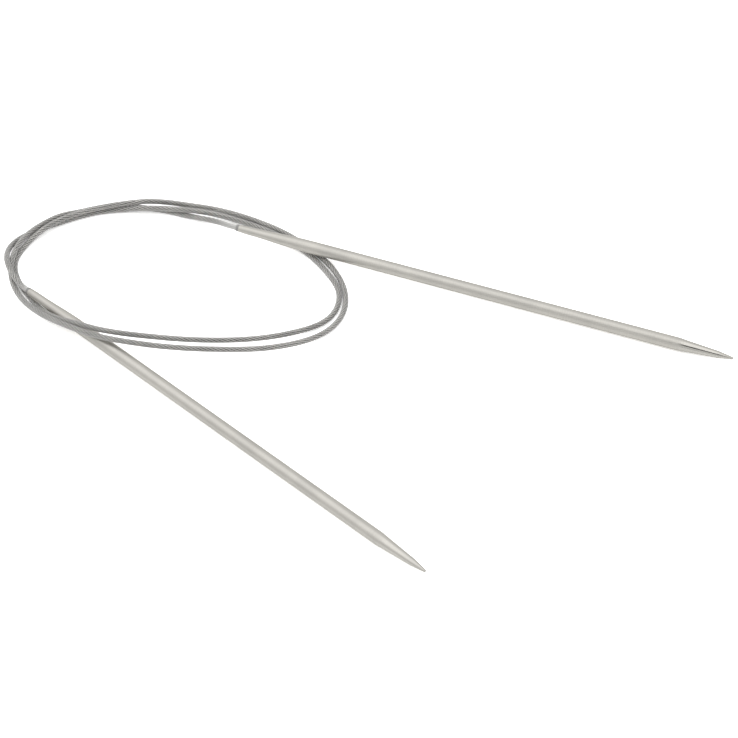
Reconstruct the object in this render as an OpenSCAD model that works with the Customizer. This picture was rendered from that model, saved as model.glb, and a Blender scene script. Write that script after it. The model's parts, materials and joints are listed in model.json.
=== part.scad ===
// Fixed circular knitting needle: two rigid steel tips joined by a jacketed wire rope cable.
// The cable rests coiled in an oval of about two and a third turns on a flat surface.
// Units are millimetres. Z is up, the resting surface is z = 0, X runs along the longest extent.

/* [Needle tips] */
// Shaft diameter of each rigid tip
needle_d = 3.5; // [2:0.25:6]
// Length of each rigid tip, joint to point
needle_l = 136.4; // [100:0.2:160]
// Length of the tapered point
point_l = 15; // [8:0.5:25]
// Radius of the rounded nose at the point
nose_r = 0.4; // [0.2:0.05:0.8]
// Diameter of the narrow neck at the cable end
neck_d = 1.9; // [1.8:0.05:2.6]
// Depth of the bore that holds the cable
socket_l = 10; // [5:0.5:14]
// Radial room between cable and bore
socket_gap = 0.03; // [0.01:0.01:0.05]

/* [Cable] */
// Outside diameter of the nylon jacket
cable_d = 1.5; // [1:0.1:2.5]
// Wall thickness of the nylon jacket
jacket_wall = 0.13; // [0.08:0.01:0.3]
// Radial room between rope crests and jacket
rope_gap = 0.02; // [0.01:0.01:0.05]
// Number of outer strands in the rope
strands = 6; // [5:1:8]
// Length of one full turn of the strands
rope_lay = 8.4; // [6:0.1:14]
// Width of the dark seal ring at each joint
seal_w = 0.7; // [0.4:0.1:1.5]

/* [Coil] */
// Half length of the oval the cable rests in
oval_a = 45; // [35:1:60]
// Half width of the oval
oval_b = 24; // [18:1:40]
// Turn of the oval about the vertical
oval_tilt = -10; // [-20:1:20]
// Centre of the oval, X
oval_x = -49.7; // [-60:0.1:-40]
// Centre of the oval, Y
oval_y = 34.5; // [20:0.1:45]

/* [Flexing ends] */
// Length of one flexing link at the upper needle
link_a_l = 2.6; // [2:0.1:5]
// Number of flexing links at the upper needle
links_a = 4; // [4:1:4]
// Length of one flexing link at the lower needle
link_b_l = 5.7; // [2:0.1:5]
// Number of flexing links at the lower needle
links_b = 2; // [2:1:2]
// Opening between two neighbouring links
link_gap = 0.34; // [0.2:0.05:0.5]

/* [Hidden] */

// where each needle starts: mouth of its neck, heading in plan and dip of the point
mouth_a = [-33.2, 49.2, 3.95];
heading_a = -18.9;
dip_a = 0.92;
mouth_b = [-87.7, 27.4, 2.7];
heading_b = -40.9;
dip_b = 0.4;

cable_r = cable_d / 2;
jacket_sides = 14;
jacket_in_r = cable_r - jacket_wall;
rope_r = jacket_in_r * cos(180 / jacket_sides) - rope_gap;
socket_r = cable_r + socket_gap;
shaft_r = needle_d / 2;
neck_r = neck_d / 2;
point_start = needle_l - point_l;

// how far the cable's centre is lifted off the surface where it lies over something
needle_room = 0.42;
over_strand = cable_d + 0.1;
over_two = cable_d + 0.5;
over_needle = mouth_b[2] + shaft_r + needle_room;
from_needle_a = 2;
to_needle_b = 3.75;

// where the cable is lifted, in turn angle: [starts to rise, up, starts to fall, down, lift]
lifts = [
  [40, 50, 76, 96, from_needle_a],
  [130, 147, 186, 226, over_strand],
  [203, 247, 256, 352, over_needle],
  [448, 470, 504, 536, over_two],
  [579, 607, 616, 708, over_needle],
  [789, 811, 820, 844, over_strand],
  [878, 925, 990, 999, to_needle_b]
];
function ease(u) = let (v = min(1, max(0, u))) v * v * (3 - 2 * v);
function lift_at(turn, i = 0) = i == len(lifts) ? 0 :
  let (l = lifts[i])
  l[4] * (ease((turn - l[0]) / (l[1] - l[0])) - ease((turn - l[2]) / (l[3] - l[2])))
  + lift_at(turn, i + 1);

// where the cable wanders from the oval: [turn angle, distance outside it]
bends = [
  // first turn, from the upper needle round the left end and the front
  [84, -3.1], [102, -0.2], [122, 1.6], [136, 1], [150, -0.3], [183, -0.9], [206, 1.1],
  [219, 2.5], [236, 4.4], [252, 5], [268, 4.4], [290, 3.5], [312, 3.5], [336, 3.2],
  // second turn, over the first at the back left
  [370, 0.3], [398, 0], [424, 1.3], [450, 2.3], [478, 0.2], [514, -2.2], [548, -1.3],
  [577, -0.2], [598, 2.9], [612, 2.8], [632, 1.3], [656, 0.1], [680, -0.4], [702, 0.1],
  // last part turn, under the others and out to the lower needle
  [722, -0.85], [748, -2.15], [790, -0.3], [820, -1.1], [842, 0], [864, -0.7], [890, 0.9], [912, 0.5]
];
last_bend = len(bends) - 1;

// smooth curve through the bends
function slope_at(i) =
  let (p = bends[max(i - 1, 0)], q = bends[min(i + 1, last_bend)])
  (q[1] - p[1]) / (q[0] - p[0]);
function between(i, u) =
  let (h = bends[i + 1][0] - bends[i][0], u2 = u * u, u3 = u2 * u)
  (2 * u3 - 3 * u2 + 1) * bends[i][1] + (u3 - 2 * u2 + u) * h * slope_at(i)
  + (3 * u2 - 2 * u3) * bends[i + 1][1] + (u3 - u2) * h * slope_at(i + 1);

// a point of the coil, from turn angle, distance outside the oval and height
function oval_point(turn, out, high) =
  let (nx = oval_b * cos(turn), ny = oval_a * sin(turn), n = norm([nx, ny]))
  let (x = oval_a * cos(turn) + out * nx / n, y = oval_b * sin(turn) + out * ny / n)
  [oval_x + x * cos(oval_tilt) - y * sin(oval_tilt),
   oval_y + x * sin(oval_tilt) + y * cos(oval_tilt), high];
coil_pts = [
  for (i = [0 : last_bend - 1])
    let (first = bends[i][0], h = bends[i + 1][0] - first)
    for (k = [0 : h - 1])
      oval_point(first + k, between(i, k / h), cable_r + lift_at(first + k))
];

// direction of each needle, mouth to point
function aim(heading, dip) = [cos(heading) * cos(dip), sin(heading) * cos(dip), -sin(dip)];
aim_a = aim(heading_a, dip_a);
aim_b = aim(heading_b, dip_b);

// free run from a needle's mouth to the coil, leaving both along their own direction
straight_l = 1.2;
run_pull = 0.36;
run_steps = 24;
function unit(v) = v / norm(v);
function run(mouth, away, to, into) =
  let (p0 = mouth + away * straight_l, reach = norm(to - p0) * run_pull)
  let (p1 = p0 + away * reach, p2 = to - into * reach)
  [for (k = [0 : run_steps - 1])
    let (u = k / run_steps, v = 1 - u)
    v * v * v * p0 + 3 * v * v * u * p1 + 3 * v * u * u * p2 + u * u * u * to];
coil_n = len(coil_pts);
coil_in = unit(coil_pts[1] - coil_pts[0]);
coil_out = unit(coil_pts[coil_n - 1] - coil_pts[coil_n - 2]);
run_a = run(mouth_a, -aim_a, coil_pts[0], coil_in);
run_b = run(mouth_b, -aim_b, coil_pts[coil_n - 1], -coil_out);
socket_end = socket_l - 0.2;

// the whole cable, from inside needle a to inside needle b
cable_pts = concat(
  [mouth_a + aim_a * socket_end, mouth_a],
  run_a, coil_pts, [for (k = [run_steps - 1 : -1 : 0]) run_b[k]],
  [mouth_b, mouth_b + aim_b * socket_end]);
cable_n = len(cable_pts);
cable_s = [for (i = 0, s = -socket_end; i < cable_n;
  s = s + (i + 1 < cable_n ? norm(cable_pts[i + 1] - cable_pts[i]) : 0), i = i + 1) s];
table_x = [for (i = [0 : cable_n - 1]) [cable_s[i], cable_pts[i][0]]];
table_y = [for (i = [0 : cable_n - 1]) [cable_s[i], cable_pts[i][1]]];
table_z = [for (i = [0 : cable_n - 1]) [cable_s[i], cable_pts[i][2]]];
cable_l = cable_s[cable_n - 1] - socket_end;

// position, direction and sideways direction at a length along the cable, 0 at needle a's mouth
function place(s) = [lookup(s, table_x), lookup(s, table_y), lookup(s, table_z)];
probe = 0.5;
function along(s) = unit(place(s + probe) - place(s - probe));
function sideways(s) = unit(cross(along(s), [0, 0, 1]));

// lengths along the cable where the flexing links meet
hinge_first = 1.05;
function hinge_a(i) = hinge_first + i * link_a_l;
function hinge_b(i) = cable_l - hinge_first - i * link_b_l;
half_gap = link_gap / 2;

// rings of points round the cable; spin is the right-hand turn in degrees per millimetre
function ring(s, shape, spin) =
  let (c = place(s), d = along(s), w = sideways(s), v = cross(w, d), turn = -s * spin)
  [for (p = shape) c + p[0] * (w * cos(p[1] + turn) + v * sin(p[1] + turn))];
function stations(s0, s1, step) =
  let (n = max(1, round((s1 - s0) / step)))
  [for (i = [0 : n]) s0 + (s1 - s0) * i / n];

// skin between neighbouring rings of n points, starting at point number base
function skin(rings, n, base, inward) = [
  for (i = [0 : rings - 2], k = [0 : n - 1])
    let (a = base + i * n + k, b = base + i * n + (k + 1) % n)
    each inward ? [[a, a + n, b], [b, a + n, b + n]] : [[a, b, a + n], [b, b + n, a + n]]
];

jacket_step = 2.6;
module jacket(s0, s1) {
  at = stations(s0, s1, jacket_step);
  m = len(at);
  n = jacket_sides;
  outer = [for (k = [0 : n - 1]) [cable_r, 360 * k / n]];
  inner = [for (k = [0 : n - 1]) [jacket_in_r, 360 * k / n]];
  pts = concat([for (s = at) each ring(s, outer, 0)], [for (s = at) each ring(s, inner, 0)]);
  hole = m * n;
  last = (m - 1) * n;
  front = [for (k = [0 : n - 1]) [k, hole + k, hole + (k + 1) % n, (k + 1) % n]];
  back = [for (k = [0 : n - 1])
    [last + k, last + (k + 1) % n, hole + last + (k + 1) % n, hole + last + k]];
  color("#b9bcbc")
    polyhedron(pts, concat(skin(m, n, 0, false), skin(m, n, hole, true), front, back), 8);
}

rope_valley = 0.68;
module rope(s0, s1) {
  at = stations(s0, s1, rope_lay / strands);
  m = len(at);
  n = 2 * strands;
  lobes = [for (k = [0 : n - 1]) [rope_r * (k % 2 == 0 ? 1 : rope_valley), 360 * k / n]];
  pts = [for (s = at) each ring(s, lobes, 360 / rope_lay)];
  last = (m - 1) * n;
  front = [[for (k = [n - 1 : -1 : 0]) k]];
  back = [[for (k = [0 : n - 1]) last + k]];
  color("#7d8284")
    polyhedron(pts, concat(skin(m, n, 0, false), front, back), 8);
}

// places a shape drawn along +Z at a needle's mouth, pointing along the needle
module at_needle(mouth, heading, dip) {
  translate(mouth)
    rotate([0, 0, heading])
      rotate([0, 90 + dip, 0])
        children();
}

// half outline of a needle, [radius, distance from the mouth]
collar_r = 1.12;
collar_l = 3;
collar_steps = 3;
neck_end = 28.4;
neck_ease = 1.9;
neck_steps = 10;
point_steps = 10;
nose_steps = 6;
nose_spread = 78;
cone_pull = [0.98, 0.1];
function collar(u) = [neck_r + (collar_r - neck_r) * sin(90 * u), collar_l * u];
function neck(u) =
  let (w = 1 - pow(1 - u, neck_ease))
  [collar_r + (shaft_r - collar_r) * (1 - cos(180 * w)) / 2, collar_l + (neck_end - collar_l) * u];
function cone(u) =
  let (v = 1 - u, end_r = nose_r * sin(nose_spread))
  [v * v * shaft_r + 2 * v * u * cone_pull[0] * shaft_r + u * u * end_r,
   point_start + point_l * (2 * v * u * cone_pull[1] + u * u * (1 - nose_r / point_l))];
function nose(u) =
  let (a = nose_spread * (1 - u))
  [nose_r * sin(a), needle_l - nose_r + nose_r * cos(a)];
module needle_solid() {
  outline = concat(
    [[0, 0]],
    [for (k = [0 : collar_steps]) collar(k / collar_steps)],
    [for (k = [1 : neck_steps]) neck(k / neck_steps)],
    [for (k = [0 : point_steps - 1]) cone(k / point_steps)],
    [for (k = [0 : nose_steps]) nose(k / nose_steps)]);
  difference() {
    rotate_extrude($fn = 64) polygon(outline);
    translate([0, 0, -1]) cylinder(r = socket_r, h = socket_l + 1, $fn = 48);
  }
}

module needle_a() {
  color("#b4b1ac") at_needle(mouth_a, heading_a, dip_a) needle_solid();
}

module needle_b() {
  color("#b4b1ac") at_needle(mouth_b, heading_b, dip_b) needle_solid();
}

// dark bead of sealant round the cable at the mouth of each neck
seal_back = 0.02;
seal_r = neck_r - 0.04;
module seal_solid() {
  translate([0, 0, -seal_w - seal_back])
    difference() {
      cylinder(r = seal_r, h = seal_w, $fn = 48);
      translate([0, 0, -1]) cylinder(r = socket_r, h = seal_w + 2, $fn = 48);
    }
}

module seal_ring_a() {
  color("#3a3c3e") at_needle(mouth_a, heading_a, dip_a) seal_solid();
}

module seal_ring_b() {
  color("#3a3c3e") at_needle(mouth_b, heading_b, dip_b) seal_solid();
}

module jacket_link_a(i) {
  jacket(hinge_a(i) + half_gap, hinge_a(i + 1) - half_gap);
}

module rope_link_a(i) {
  rope(hinge_a(i) + half_gap, hinge_a(i + 1) - half_gap);
}

module jacket_link_b(i) {
  jacket(hinge_b(i + 1) + half_gap, hinge_b(i) - half_gap);
}

module rope_link_b(i) {
  rope(hinge_b(i + 1) + half_gap, hinge_b(i) - half_gap);
}

module jacket_coil() {
  jacket(hinge_a(links_a) + half_gap, hinge_b(links_b) - half_gap);
}

module rope_coil() {
  rope(hinge_a(links_a) + half_gap, hinge_b(links_b) - half_gap);
}

module jacket_socket_a() {
  jacket(-socket_end, hinge_first - half_gap);
}

module rope_socket_a() {
  rope(-socket_end, hinge_first - half_gap);
}

module jacket_socket_b() {
  jacket(cable_l - hinge_first + half_gap, cable_l + socket_end);
}

module rope_socket_b() {
  rope(cable_l - hinge_first + half_gap, cable_l + socket_end);
}

needle_a();
needle_b();
seal_ring_a();
seal_ring_b();
jacket_coil();
rope_coil();
jacket_link_a(3);  // jacket_a1
jacket_link_a(2);  // jacket_a2
jacket_link_a(1);  // jacket_a3
jacket_link_a(0);  // jacket_a4
jacket_socket_a();
rope_link_a(3);  // rope_a1
rope_link_a(2);  // rope_a2
rope_link_a(1);  // rope_a3
rope_link_a(0);  // rope_a4
rope_socket_a();
jacket_link_b(1);  // jacket_b1
jacket_link_b(0);  // jacket_b2
jacket_socket_b();
rope_link_b(1);  // rope_b1
rope_link_b(0);  // rope_b2
rope_socket_b();
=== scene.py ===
import json
import math

import bmesh
import bpy
import numpy as np
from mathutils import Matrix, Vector


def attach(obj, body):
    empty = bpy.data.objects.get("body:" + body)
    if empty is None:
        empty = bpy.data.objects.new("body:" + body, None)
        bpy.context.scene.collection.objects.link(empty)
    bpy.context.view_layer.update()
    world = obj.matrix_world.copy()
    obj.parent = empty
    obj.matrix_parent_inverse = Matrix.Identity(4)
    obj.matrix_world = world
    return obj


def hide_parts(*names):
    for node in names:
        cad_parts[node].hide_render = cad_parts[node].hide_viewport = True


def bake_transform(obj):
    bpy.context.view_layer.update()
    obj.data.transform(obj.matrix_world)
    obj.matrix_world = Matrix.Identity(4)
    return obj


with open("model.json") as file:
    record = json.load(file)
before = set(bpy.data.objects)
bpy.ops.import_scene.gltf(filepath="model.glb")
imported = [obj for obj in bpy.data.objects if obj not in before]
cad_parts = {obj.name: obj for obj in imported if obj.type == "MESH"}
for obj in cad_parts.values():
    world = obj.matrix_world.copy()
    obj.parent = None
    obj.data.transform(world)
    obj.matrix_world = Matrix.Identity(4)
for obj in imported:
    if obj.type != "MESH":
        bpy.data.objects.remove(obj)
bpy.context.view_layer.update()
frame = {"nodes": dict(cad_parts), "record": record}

# Circular knitting needle: two satin steel tips and a wire rope cable in a clear nylon jacket.
# Lengths are metres in the frame's axes. Z is up and the needle lies on z = 0.
MM = 0.001
FULL_TURN = 2 * math.pi
UP = np.array([0.0, 0.0, 1.0])
SCENE = bpy.context.scene

# The cable from inside needle a to inside needle b: its CAD nodes and the bodies they ride on.
CABLE_NODES = ["socket_a", "a4", "a3", "a2", "a1", "coil", "b1", "b2", "socket_b"]
CABLE_BODIES = ["tip_a", "lead_a4", "lead_a3", "lead_a2", "lead_a1", "coil", "lead_b1", "lead_b2", "tip_b"]
COIL = CABLE_BODIES.index("coil")

# Cable section. Outside, the jacket has its CAD size. Inside, wall and rope are drawn larger than in CAD,
# because real clear nylon magnifies the rope and this jacket is see-through by alpha alone.
JACKET_R = 0.75 * MM
JACKET_IN_R = 0.68 * MM
ROPE_R = 0.66 * MM
# The rope: its outer strands, the length of one turn of them, and their radius and distance from the middle
STRANDS = 6
ROPE_LAY = 8.4 * MM
STRAND_R = 0.32 * ROPE_R
STRAND_AT = ROPE_R - STRAND_R
# A strand: the wires that ridge it, the length of one turn of them, and its radius between two as a share
WIRES = 6
WIRE_LAY = 3.1 * MM
WIRE_VALLEY = 0.84
CORE_R = STRAND_AT - STRAND_R


# ---------------------------------------------------------------- reading the frame

def groups(count, pairs):
    """Labels points so that all that are linked by a pair share a label."""
    root = list(range(count))

    def find(i):
        while root[i] != i:
            root[i] = root[root[i]]
            i = root[i]
        return i

    for a, b in pairs:
        root[find(a)] = find(b)
    return np.array([find(i) for i in range(count)])


def ring_centres(name):
    """Centres of a jacket node's rings of points, in order along the cable."""
    # Points within weld are one. Edges under ring_edge run round a ring. An outer and an inner ring that lie
    # at the same station have centres within same_place.
    weld, ring_edge, same_place = 1e-6, 0.6 * MM, 0.2 * MM
    mesh = frame["nodes"][name].data
    co = np.array([v.co for v in mesh.vertices], float)
    _, first, label = np.unique(np.round(co / weld), axis=0, return_index=True, return_inverse=True)
    pts = co[first]
    label = label.ravel()
    ends = np.array([tuple(e.vertices) for e in mesh.edges])
    edges = label[ends]
    length = np.linalg.norm(pts[edges[:, 0]] - pts[edges[:, 1]], axis=1)
    ring = groups(len(pts), edges[length < ring_edge])
    names = np.unique(ring)
    middle = np.array([pts[ring == r].mean(0) for r in names])
    gap = np.linalg.norm(middle[:, None] - middle[None], axis=2)
    station = groups(len(names), np.argwhere(gap < same_place))
    of_point = station[np.searchsorted(names, ring)]
    nearby = {}
    for a, b in of_point[edges]:
        if a != b:
            nearby.setdefault(a, set()).add(b)
            nearby.setdefault(b, set()).add(a)
    here = min(k for k in nearby if len(nearby[k]) == 1)
    order, before = [here], None
    while True:
        ahead = [k for k in nearby[here] if k != before]
        if not ahead:
            break
        before, here = here, ahead[0]
        order.append(here)
    return np.array([middle[station == k].mean(0) for k in order])


def read_cable():
    """Points along the cable's middle, and the index of each point where two bodies meet."""
    runs = [ring_centres("jacket_" + n) for n in CABLE_NODES]
    far = np.linalg.norm(runs[0][[0, -1]] - runs[1][0], axis=1)
    line = runs[0][::-1] if far[0] < far[1] else runs[0]
    meet = []
    for run in runs[1:]:
        if np.linalg.norm(run[-1] - line[-1]) < np.linalg.norm(run[0] - line[-1]):
            run = run[::-1]
        meet.append(len(line) - 1)
        line = np.vstack([line[:-1], (line[-1:] + run[:1]) / 2, run[1:]])
    return line, meet


KNOTS, MEET = read_cable()
KNOT_S = np.r_[0, np.cumsum(np.linalg.norm(np.diff(KNOTS, axis=0), axis=1))]
KNOT_D = np.gradient(KNOTS, KNOT_S, axis=0)
HINGE_S = KNOT_S[MEET]
CABLE_L = KNOT_S[-1]


def cubic(u, h, p, q, m, n):
    """The curve from p to q over a step h, with slopes m and n at its ends, at the share u of the step."""
    start = (2 * u**3 - 3 * u**2 + 1) * p + (u**3 - 2 * u**2 + u) * h * m
    return start + (3 * u**2 - 2 * u**3) * q + (u**3 - u**2) * h * n


def place(s):
    """Points of the cable's middle at lengths s, and its direction there."""
    i = np.clip(np.searchsorted(KNOT_S, s, side="right") - 1, 0, len(KNOTS) - 2)
    h = (KNOT_S[i + 1] - KNOT_S[i])[:, None]
    u = (s - KNOT_S[i])[:, None] / h
    p, q, m, n = KNOTS[i], KNOTS[i + 1], KNOT_D[i], KNOT_D[i + 1]
    d = (6 * u**2 - 6 * u) / h * (p - q) + (3 * u**2 - 4 * u + 1) * m + (3 * u**2 - 2 * u) * n
    return cubic(u, h, p, q, m, n), unit(d)


def unit(v):
    return v / np.linalg.norm(v, axis=-1, keepdims=True)


def across(d):
    """Two directions square to d: sideways in plan, and upwards."""
    side = unit(np.cross(d, UP))
    return side, np.cross(side, d)


# ---------------------------------------------------------------- building meshes

SHARP = math.radians(40)


def add_piece(name, verts, faces, uv, slot, material, paint=None):
    """A smooth-shaded mesh object with one UV pair per face corner and painted point values."""
    mesh = bpy.data.meshes.new(name)
    mesh.from_pydata(np.asarray(verts).tolist(), [], faces)
    layer = mesh.uv_layers.new(name="UVMap")
    layer.data.foreach_set("uv", np.asarray(uv, np.float32).ravel())
    bm = bmesh.new()
    bm.from_mesh(mesh)
    bmesh.ops.recalc_face_normals(bm, faces=bm.faces)
    bm.to_mesh(mesh)
    bm.free()
    mesh.shade_smooth()
    mesh.set_sharp_from_angle(angle=SHARP)
    for key, values in (paint or {}).items():
        layer = mesh.attributes.new(key, "FLOAT", "POINT")
        layer.data.foreach_set("value", np.asarray(values, np.float32))
    mesh.materials.append(material)
    obj = bpy.data.objects.new(name, mesh)
    SCENE.collection.objects.link(obj)
    return obj


def side_faces(m, n, base, v0, v1):
    """Quads between m rings of n points that start at point base, and their UVs."""
    i, k = np.meshgrid(np.arange(m - 1), np.arange(n), indexing="ij")
    i, k = i.ravel(), k.ravel()
    near, far, nxt = base + i * n, base + (i + 1) * n, (k + 1) % n
    faces = np.stack([near + k, far + k, far + nxt, near + nxt], 1)
    va, vb = v0 + (v1 - v0) * i / (m - 1), v0 + (v1 - v0) * (i + 1) / (m - 1)
    u0, u1 = k / n, (k + 1) / n
    uv = np.stack([u0, va, u0, vb, u1, vb, u1, va], 1).reshape(-1, 2)
    return faces.tolist(), uv.tolist()


def solid_sweep(rings):
    """Vertices, faces and UVs of a closed bar through an (m, n, 3) stack of rings."""
    m, n = rings.shape[:2]
    faces, uv = side_faces(m, n, 0, 0.0, 1.0)
    angles = [FULL_TURN * k / n for k in range(n)]
    disc = [((1 + math.cos(a)) / 2, (1 + math.sin(a)) / 2) for a in angles]
    for base in (0, (m - 1) * n):
        faces.append([base + k for k in range(n)])
        uv.extend(disc)
    return rings.reshape(-1, 3), faces, uv


def tube_sweep(outer, inner):
    """Vertices, faces and UVs of a pipe wall between two stacks of rings."""
    m, n = outer.shape[:2]
    faces, uv = side_faces(m, n, 0, 0.0, 1.0)
    more, more_uv = side_faces(m, n, m * n, 0.0, 1.0)
    faces, uv = faces + more, uv + more_uv
    for base in (0, (m - 1) * n):
        for k in range(n):
            nxt = (k + 1) % n
            faces.append([base + k, base + nxt, base + m * n + nxt, base + m * n + k])
            uv.extend([(k / n, 0), ((k + 1) / n, 0), ((k + 1) / n, 1), (k / n, 1)])
    return np.vstack([outer.reshape(-1, 3), inner.reshape(-1, 3)]), faces, uv


def stations(s0, s1, step):
    return np.linspace(s0, s1, max(2, int(round((s1 - s0) / step)) + 1))


def round_rings(s, radius, sides):
    """Plain round rings about the cable's middle."""
    at, d = place(s)
    side, lift = across(d)
    turn = FULL_TURN * np.arange(sides) / sides
    spoke = side[:, None] * np.cos(turn)[None, :, None] + lift[:, None] * np.sin(turn)[None, :, None]
    return at[:, None] + radius * spoke


def strand_rings(s, number):
    """Lobed rings of one outer strand: right-hand lay, with its wires laid the other way."""
    at, d = place(s)
    side, lift = across(d)
    turn = (FULL_TURN * number / STRANDS - FULL_TURN * s / ROPE_LAY)[:, None]
    out = side * np.cos(turn) + lift * np.sin(turn)
    round_it = side * np.sin(turn) - lift * np.cos(turn)
    middle = at + STRAND_AT * out
    ahead = unit(d + round_it * FULL_TURN * STRAND_AT / ROPE_LAY)
    over = np.cross(out, ahead)
    points = 2 * WIRES
    spin = FULL_TURN * np.arange(points)[None] / points + (FULL_TURN * s / WIRE_LAY)[:, None]
    radius = STRAND_R * np.where(np.arange(points) % 2 == 0, 1.0, WIRE_VALLEY)[None, :, None]
    spoke = out[:, None] * np.cos(spin)[..., None] + over[:, None] * np.sin(spin)[..., None]
    return middle[:, None] + radius * spoke


def join(parts):
    """Several (vertices, faces, uv) sets as one."""
    verts, faces, uv, base = [], [], [], 0
    for v, f, t in parts:
        verts.append(v)
        faces.extend([[base + k for k in face] for face in f])
        uv.extend(t)
        base += len(v)
    return np.vstack(verts), faces, uv


def turned(origin, axis, outline, sides, closed):
    """Vertices, faces and UVs of an outline of (radius, distance) turned about an axis."""
    side, lift = across(axis)
    turn = FULL_TURN * np.arange(sides) / sides
    spoke = side * np.cos(turn)[:, None] + lift * np.sin(turn)[:, None]
    length = max(z for _, z in outline) - min(z for _, z in outline)
    verts, faces, uv, rings = [], [], [], []
    for r, z in outline:
        first = len(verts)
        middle = origin + axis * z
        verts.extend(middle + spoke * r if r > 0 else [middle])
        rings.append((first, r > 0, z / length))
    pairs = list(zip(rings, rings[1:] + rings[:1])) if closed else list(zip(rings, rings[1:]))
    for (a, a_wide, va), (b, b_wide, vb) in pairs:
        for k in range(sides):
            nxt = (k + 1) % sides
            u0, u1 = k / sides, (k + 1) / sides
            if a_wide and b_wide:
                faces.append([a + k, b + k, b + nxt, a + nxt])
                uv.extend([(u0, va), (u0, vb), (u1, vb), (u1, va)])
            elif a_wide:
                faces.append([a + k, b, a + nxt])
                uv.extend([(u0, va), (u0, vb), (u1, va)])
            else:
                faces.append([a, b + k, b + nxt])
                uv.extend([(u0, va), (u0, vb), (u1, vb)])
    return np.array(verts), faces, uv


# ---------------------------------------------------------------- materials

def shader(name):
    material = bpy.data.materials.new(name)
    material.use_nodes = True
    tree = material.node_tree
    tree.nodes.clear()
    out = tree.nodes.new("ShaderNodeOutputMaterial")
    return material, tree, out


def put(tree, kind, inputs=None, **settings):
    """Adds a node. An input is a value or another node's output."""
    made = tree.nodes.new(kind)
    for key, value in settings.items():
        setattr(made, key, value)
    for key, value in (inputs or {}).items():
        if isinstance(value, bpy.types.NodeSocket):
            tree.links.new(value, made.inputs[key])
        else:
            made.inputs[key].default_value = value
    return made


def grey(level, warm=0.0):
    return (level * (1 + 0.6 * warm), level, level * (1 - 1.4 * warm), 1.0)


def scaled(tree, value, low, high, to_low, to_high):
    made = put(tree, "ShaderNodeMapRange", {0: value, 1: low, 2: high, 3: to_low, 4: to_high})
    return made.outputs[0]


def maths(tree, operation, *values, **settings):
    made = put(tree, "ShaderNodeMath", dict(enumerate(values)), operation=operation, **settings)
    return made.outputs[0]


def noise(tree, coord, per_m, detail):
    inputs = {"Vector": coord, "Scale": per_m, "Detail": detail}
    return put(tree, "ShaderNodeTexNoise", inputs).outputs["Fac"]


def mixed(tree, share, low, high):
    return put(tree, "ShaderNodeMix", {0: share, 6: low, 7: high}, data_type="RGBA").outputs[2]


def bumped(tree, height, strength, distance):
    inputs = {"Strength": strength, "Distance": distance, "Height": height}
    return put(tree, "ShaderNodeBump", inputs).outputs[0]


def surface(tree, out, inputs):
    bsdf = put(tree, "ShaderNodeBsdfPrincipled", inputs)
    tree.links.new(bsdf.outputs[0], out.inputs[0])


# The spans that hold most of a noise's values: for fine patterns, and for clouds of tone
FINE = (0.3, 0.7)
CLOUD = (0.35, 0.65)
# Turning marks along a needle, and the length over which its satin shaft passes into the smoother point
MARKS_PER_M = 5200.0
POLISH_EASE = 2.5 * MM


def steel(name, axis, point_s, polish):
    """Satin steel turned about an axis; polish is the roughness of the point past point_s."""
    material, tree, out = shader(name)
    coord = put(tree, "ShaderNodeTexCoord").outputs["Object"]
    dot = put(tree, "ShaderNodeVectorMath", {0: coord, 1: tuple(axis)}, operation="DOT_PRODUCT")
    along = dot.outputs["Value"]
    w = maths(tree, "MULTIPLY", along, MARKS_PER_M)
    marks = put(tree, "ShaderNodeTexNoise", {"W": w, "Scale": 1.0, "Detail": 3.0, "Roughness": 0.7},
                noise_dimensions="1D").outputs["Fac"]
    cloud = noise(tree, coord, 130.0, 4.0)
    grain = noise(tree, coord, 4200.0, 2.0)
    tone = mixed(tree, scaled(tree, cloud, *CLOUD, 0.0, 1.0), grey(0.57, 0.05), grey(0.64, 0.055))
    lined = mixed(tree, scaled(tree, marks, *FINE, 0.0, 0.5), tone, grey(0.5, 0.045))
    body_rough = scaled(tree, marks, *FINE, 0.38, 0.5)
    in_point = scaled(tree, along, point_s, point_s + POLISH_EASE, 0.0, 1.0)
    rough = put(tree, "ShaderNodeMix", {0: in_point, 2: body_rough, 3: polish}).outputs[0]
    bump = bumped(tree, maths(tree, "ADD", marks, grain), 0.12, 0.02 * MM)
    surface(tree, out, {"Base Color": lined, "Metallic": 0.85, "Roughness": rough, "Normal": bump})
    return material


def wire(name, light, dark):
    """Drawn stainless wire with a dull, uneven film, and painted shade that is darkest down between the
    strands.
    """
    material, tree, out = shader(name)
    coord = put(tree, "ShaderNodeTexCoord").outputs["Object"]
    cloud = noise(tree, coord, 160.0, 3.0)
    grain = noise(tree, coord, 6000.0, 2.0)
    film = mixed(tree, scaled(tree, cloud, *CLOUD, 0.0, 1.0), dark, light)
    crest = put(tree, "ShaderNodeAttribute", attribute_name="crest").outputs["Fac"]
    # Painted shade: the colour falls to near black where the crest value is low, down between the strands.
    tone = mixed(tree, scaled(tree, crest, 0.1, 0.75, 0.0, 1.0), grey(0.05), film)
    rough = scaled(tree, grain, *FINE, 0.28, 0.46)
    bump = bumped(tree, grain, 0.2, 0.01 * MM)
    surface(tree, out, {"Base Color": tone, "Metallic": 0.9, "Roughness": rough, "Normal": bump})
    return material


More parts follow.
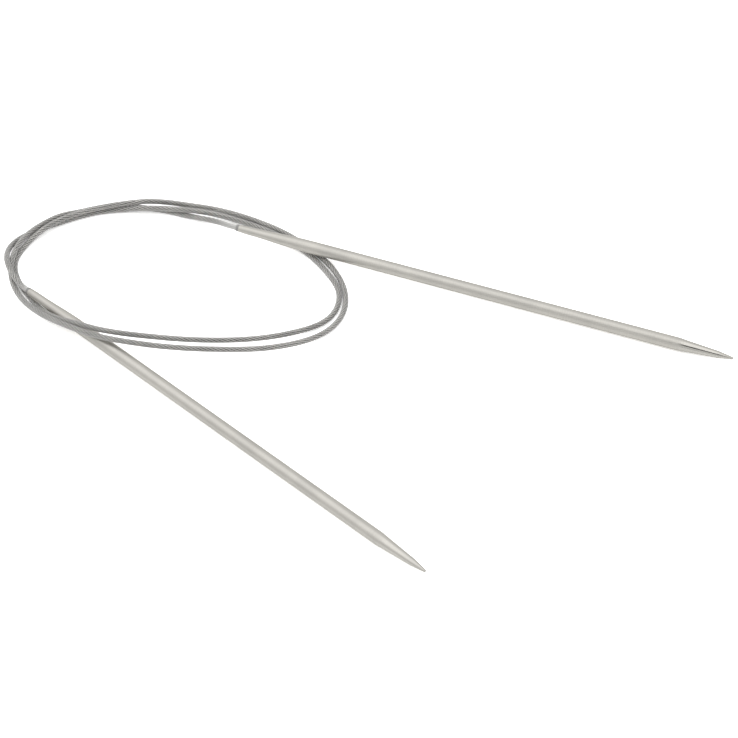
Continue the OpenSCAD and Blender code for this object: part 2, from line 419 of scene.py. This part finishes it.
def nylon(name):
    """Clear nylon skin: see-through face on, denser at the rim, whiter and cloudier where haze is painted."""
    material, tree, out = shader(name)
    coord = put(tree, "ShaderNodeTexCoord").outputs["Object"]
    cloud = noise(tree, coord, 90.0, 4.0)
    ripple = noise(tree, coord, 1500.0, 2.0)
    haze = put(tree, "ShaderNodeAttribute", attribute_name="haze").outputs["Fac"]
    facing = put(tree, "ShaderNodeLayerWeight", {"Blend": 0.5}).outputs["Facing"]
    skin = scaled(tree, maths(tree, "POWER", facing, 1.1), 0.0, 1.0, 0.08, 0.85)
    film = scaled(tree, cloud, 0.45, 0.75, 0.0, 0.05)
    alpha = maths(tree, "MULTIPLY_ADD", haze, 0.5, maths(tree, "ADD", skin, film), use_clamp=True)
    tone = mixed(tree, haze, grey(0.5, 0.02), grey(0.76, 0.02))
    rough = scaled(tree, cloud, *FINE, 0.16, 0.3)
    bump = bumped(tree, ripple, 0.15, 0.02 * MM)
    surface(tree, out, {"Base Color": tone, "Roughness": rough, "IOR": 1.53, "Alpha": alpha,
                        "Normal": bump})
    return material


def sealant(name):
    """Dark set sealant with a slightly wet, lumpy skin."""
    material, tree, out = shader(name)
    coord = put(tree, "ShaderNodeTexCoord").outputs["Object"]
    lump = noise(tree, coord, 2600.0, 3.0)
    tone = mixed(tree, lump, grey(0.24, 0.01), grey(0.36, 0.02))
    rough = scaled(tree, lump, *FINE, 0.3, 0.5)
    bump = bumped(tree, lump, 0.4, 0.03 * MM)
    surface(tree, out, {"Base Color": tone, "Roughness": rough, "Normal": bump})
    return material


STRAND_STEEL = wire("strand_steel_painted_shade", grey(0.9, 0.03), grey(0.7, 0.025))
# The core is coloured near black: painted shade for the dark inside of the rope.
CORE_STEEL = wire("core_steel_painted_shade", grey(0.1), grey(0.06))
CLEAR_NYLON = nylon("clear_nylon")
DARK_SEALANT = sealant("dark_sealant")


# ---------------------------------------------------------------- cable

JACKET_SIDES = 24
JACKET_STEP = 0.6 * MM
STRAND_STEP = 0.3 * MM
CORE_SIDES = 8
CORE_STEP = 0.6 * MM
# Each needle's mouth lies HINGE_OUT past its nearest hinge. The cable bends up to TIP_ROOM past that hinge.
HINGE_OUT = 1.05 * MM
TIP_ROOM = 0.3 * MM
# How far the jacket is cloudy from the mouths of needles a and b, and how steeply that fades
HAZE_L = (8 * MM, 4 * MM)
HAZE_FADE = 1.5


def flex_spans():
    """For each hinge, the stretch of cable that bends about it."""
    h = HINGE_S
    middle = (h[1:] + h[:-1]) / 2
    spans = []
    for i in range(len(h)):
        low = middle[i - 1] if i > 0 else h[0] - TIP_ROOM
        high = middle[i] if i < len(h) - 1 else h[-1] + TIP_ROOM
        if i == COIL - 1:
            high = h[i] + (h[i] - h[i - 1]) / 2
        if i == COIL:
            low = h[i] - (h[i + 1] - h[i]) / 2
        spans.append((low, high))
    return spans


FLEX = flex_spans()


def haze_at(s):
    """How cloudy the jacket is: full at each needle's mouth, clear a little way off."""
    mouths = (HINGE_S[0] - HINGE_OUT, HINGE_S[-1] + HINGE_OUT)
    off = [np.clip(np.abs(s - m) / reach, 0, 1) for m, reach in zip(mouths, HAZE_L)]
    return 1 - np.minimum(*off) ** HAZE_FADE


def add_jacket(name, s0, s1):
    s = stations(s0, s1, JACKET_STEP)
    mesh = tube_sweep(round_rings(s, JACKET_R, JACKET_SIDES), round_rings(s, JACKET_IN_R, JACKET_SIDES))
    haze = np.tile(np.repeat(haze_at(s), JACKET_SIDES), 2)
    return add_piece("jacket_" + name, *mesh, "clear_nylon", CLEAR_NYLON, {"haze": haze})


def add_strands(name, s0, s1, numbers):
    s = stations(s0, s1, STRAND_STEP)
    middle = np.repeat(place(s)[0], 2 * WIRES, axis=0)
    rings = [strand_rings(s, k) for k in numbers]
    # crest: how far each point stands out from its strand's middle; the rope shader paints shade where it is
    # low.
    crest = [(np.linalg.norm(r.reshape(-1, 3) - middle, axis=1) - STRAND_AT) / STRAND_R for r in rings]
    mesh = join([solid_sweep(r) for r in rings])
    return add_piece(name, *mesh, "rope_steel", STRAND_STEEL, {"crest": np.concatenate(crest)})


def add_core(name, s0, s1):
    mesh = solid_sweep(round_rings(stations(s0, s1, CORE_STEP), CORE_R, CORE_SIDES))
    return add_piece("core_" + name, *mesh, "rope_steel", CORE_STEEL)


def rigid(label, node, body, s0, s1):
    """The jacket and rope of a stretch that rides on one body."""
    jacket = add_jacket(label, s0, s1)
    rope = [add_strands(f"strand_{label}_{k + 1}", s0, s1, [k]) for k in range(STRANDS)]
    rope.append(add_core(label, s0, s1))
    for piece in [jacket] + rope:
        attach(piece, body)
        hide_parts(("jacket_" if piece is jacket else "rope_") + node)


def bending(label, nodes, s0, s1):
    """The jacket and rope of a stretch that bends between two bodies."""
    jacket = add_jacket(label, s0, s1)
    rope = [add_strands("strands_" + label, s0, s1, range(STRANDS)), add_core(label, s0, s1)]
    for piece in [jacket] + rope:
        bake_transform(piece)
        for node in nodes:
            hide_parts(("jacket_" if piece is jacket else "rope_") + node)


rigid("in_tip_a", "socket_a", "tip_a", 0.0, FLEX[0][0])
rigid("in_coil", "coil", "coil", FLEX[COIL - 1][1], FLEX[COIL][0])
rigid("in_tip_b", "socket_b", "tip_b", FLEX[-1][1], CABLE_L)
for i, (low, high) in enumerate(FLEX):
    links = [CABLE_NODES[j] for j in (i, i + 1) if CABLE_NODES[j][0] in "ab"]
    bending(f"bend_{i + 1}", links, low, high)


# ---------------------------------------------------------------- needles and seals

NEEDLE_SIDES = 96
SEAL_SIDES = 64
CONE_L = 15 * MM


def about_axis(node, side):
    """A point on a needle's axis, its direction, and (distance, radius) of a node's points about it."""
    shaft = next(m for m in frame["record"]["mounts"] if m["name"] == "shaft_" + side)
    axis = unit(np.array(shaft["axis"], float))
    at = np.array(shaft["pos_m"], float)
    co = np.array([v.co for v in frame["nodes"][node].data.vertices], float) - at
    z = co @ axis
    return at, axis, z, np.linalg.norm(co - z[:, None] * axis, axis=1)


def outer_outline(z, r):
    """Widest radius at each distance that holds points, kept where the outline changes slope."""
    # Points within level_gap share a level. A level whose widest point is under wall_share of its neighbours
    # holds only the bore. A change of slope over kink is kept.
    level_gap, kink, wall_share = 0.02 * MM, 0.004, 0.8
    order = np.argsort(z)
    z, r = z[order], r[order]
    starts = np.r_[0, np.flatnonzero(np.diff(z) > level_gap) + 1, len(z)]
    line = np.array([(z[a:b].mean(), r[a:b].max()) for a, b in zip(starts, starts[1:])])
    hull = np.interp(line[:, 0], line[::2, 0], line[::2, 1])
    line = line[line[:, 1] > wall_share * hull]
    slope = np.diff(line[:, 1]) / np.diff(line[:, 0])
    keep = np.r_[True, np.abs(np.diff(slope)) > kink, True]
    return line[keep]


def smooth_outline(line, parts):
    """More points between those of an outline, on a curve that never overshoots them."""
    no_slope, steepest = 1e-6, 3
    z, r = line[:, 0], line[:, 1]
    slope = np.diff(r) / np.diff(z)
    m = np.r_[slope[0], (slope[:-1] + slope[1:]) / 2, slope[-1]]
    for i, g in enumerate(slope):
        reach = math.hypot(m[i] / g, m[i + 1] / g) if abs(g) > no_slope else 0
        if reach == 0:
            m[i] = m[i + 1] = 0
        elif reach > steepest:
            m[i], m[i + 1] = steepest * m[i] / reach, steepest * m[i + 1] / reach
    out = []
    for i, h in enumerate(np.diff(z)):
        for u in np.arange(parts) / parts:
            out.append((cubic(u, h, r[i], r[i + 1], m[i], m[i + 1]), z[i] + h * u))
    return out


def add_needle(side, polish):
    """A needle turned from its CAD outline, bored at the mouth; polish is its point's roughness."""
    bore_share, smooth_parts = 0.9, 3
    node = "needle_" + side
    at, axis, z, r = about_axis(node, side)
    mouth, tip = z.min(), z.max()
    line = outer_outline(z, r)
    inside = (r < bore_share * np.interp(z, line[:, 0], line[:, 1])) & (z < (mouth + tip) / 2)
    bore_r, bore_end = r[inside].max(), z[inside].max()
    outline = [(0, bore_end), (bore_r, bore_end), (bore_r, mouth)]
    outline += smooth_outline(line, smooth_parts) + [(0, tip)]
    point_s = float(axis @ (at + axis * (tip - CONE_L)))
    mesh = turned(at, axis, outline, NEEDLE_SIDES, False)
    piece = add_piece(node + "_steel", *mesh, "needle_steel", steel(node + "_steel", axis, point_s, polish))
    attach(piece, "tip_" + side)
    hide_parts(node)


def add_seal(side):
    """A bead of sealant: a rounded block in section, crowned a little outside."""
    node = "seal_ring_" + side
    at, axis, z, r = about_axis(node, side)
    middle, half = (z.min() + z.max()) / 2, (z.max() - z.min()) / 2
    wall, inner = r.max() - r.min(), r.min()
    corner, corner_steps, crown, crown_steps = 0.4 * wall, 4, 0.02 * MM, 6
    outline = []
    for quarter in range(4):
        to_z = 1 if quarter in (0, 3) else -1
        to_r = 1 if quarter < 2 else 0
        for k in range(corner_steps + 1):
            angle = math.pi / 2 * (quarter + k / corner_steps)
            out_r = inner + (wall - corner if to_r else corner) + corner * math.sin(angle)
            outline.append((out_r, middle + to_z * (half - corner) + corner * math.cos(angle)))
        if quarter == 0:
            for k in range(1, crown_steps):
                u = k / crown_steps
                out_r = inner + wall + crown * math.sin(math.pi * u)
                outline.append((out_r, middle + (half - corner) * (1 - 2 * u)))
    mesh = turned(at, axis, outline, SEAL_SIDES, True)
    piece = add_piece("sealant_" + side, *mesh, "seal", DARK_SEALANT)
    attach(piece, "tip_" + side)
    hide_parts(node)


add_needle("a", 0.12)
add_needle("b", 0.3)
add_seal("a")
add_seal("b")


# ---------------------------------------------------------------- floor, light and camera

def flat(name, size, at, material):
    mesh = bpy.data.meshes.new(name)
    h = size / 2
    mesh.from_pydata([(-h, -h, 0), (h, -h, 0), (h, h, 0), (-h, h, 0)], [], [(0, 1, 2, 3)])
    mesh.materials.append(material)
    obj = bpy.data.objects.new(name, mesh)
    obj.location = at
    SCENE.collection.objects.link(obj)
    return obj


def paper():
    """White sweep: a matt floor that the camera sees brighter than it is lit, so only deep shadows show."""
    lit, seen_as, glow_lit, glow_seen = 0.9, 1.9, 0.1, 0.14
    material, tree, out = shader("white_paper")
    seen = put(tree, "ShaderNodeLightPath").outputs["Is Camera Ray"]
    tone = mixed(tree, seen, grey(lit), grey(seen_as))
    matt = put(tree, "ShaderNodeBsdfDiffuse", {"Color": tone}).outputs[0]
    strength = scaled(tree, seen, 0.0, 1.0, glow_lit, glow_seen)
    glow = put(tree, "ShaderNodeEmission", {"Color": grey(1.0), "Strength": strength}).outputs[0]
    both = put(tree, "ShaderNodeAddShader", {0: matt, 1: glow}).outputs[0]
    tree.links.new(both, out.inputs[0])
    return material


def black():
    material, tree, out = shader("black_card")
    bsdf = put(tree, "ShaderNodeBsdfDiffuse", {"Color": grey(0.02)}).outputs[0]
    tree.links.new(bsdf, out.inputs[0])
    return material


def sky():
    """Soft studio light, brighter overhead than round the sides."""
    horizon, overhead, overhead_z = 0.56, 0.86, 0.7
    world = bpy.data.worlds.new("studio")
    world.use_nodes = True
    tree = world.node_tree
    tree.nodes.clear()
    ray = put(tree, "ShaderNodeTexCoord").outputs["Generated"]
    height = put(tree, "ShaderNodeSeparateXYZ", {0: ray}).outputs["Z"]
    level = scaled(tree, height, 0.0, overhead_z, horizon, overhead)
    back = put(tree, "ShaderNodeBackground", {"Color": grey(1.0), "Strength": level}).outputs[0]
    out = tree.nodes.new("ShaderNodeOutputWorld")
    tree.links.new(back, out.inputs[0])
    SCENE.world = world


LOOK_AT = Vector((0.0018, 0.0030, 0.0))
CAMERA_AT = Vector((0.0018, -0.38845, 0.46522))
CARD_BEHIND = 1.04


def aimed(at):
    """The turn of a thing at a place that makes it look at the needle."""
    return (LOOK_AT - at).to_track_quat("-Z", "Y").to_euler()


flat("paper_floor", 8.0, (0, 0, 0), paper())
# The black card stands for the dark camera. Only reflections see it: the dark line on needle a's point.
card = flat("camera_card", 0.27, CAMERA_AT * CARD_BEHIND, black())
card.rotation_euler = aimed(CAMERA_AT)
card.visible_camera = card.visible_diffuse = card.visible_shadow = False
sky()

lamp_data = bpy.data.lights.new("softbox", "AREA")
lamp_data.shape = "SQUARE"
lamp_data.size = 1.6
lamp_data.energy = 4.0
lamp = bpy.data.objects.new("softbox", lamp_data)
lamp.location = (-0.35, 0.06, 1.2)
lamp.rotation_euler = aimed(lamp.location)
SCENE.collection.objects.link(lamp)

camera_data = bpy.data.cameras.new("camera")
camera_data.lens = 115.0
camera_data.sensor_width = 36.0
camera_data.clip_start = 0.01
camera = bpy.data.objects.new("camera", camera_data)
camera.location = CAMERA_AT
camera.rotation_euler = aimed(CAMERA_AT)
SCENE.collection.objects.link(camera)
SCENE.camera = camera
SCENE.view_settings.view_transform = "Standard"
SCENE.cycles.transparent_max_bounces = 24
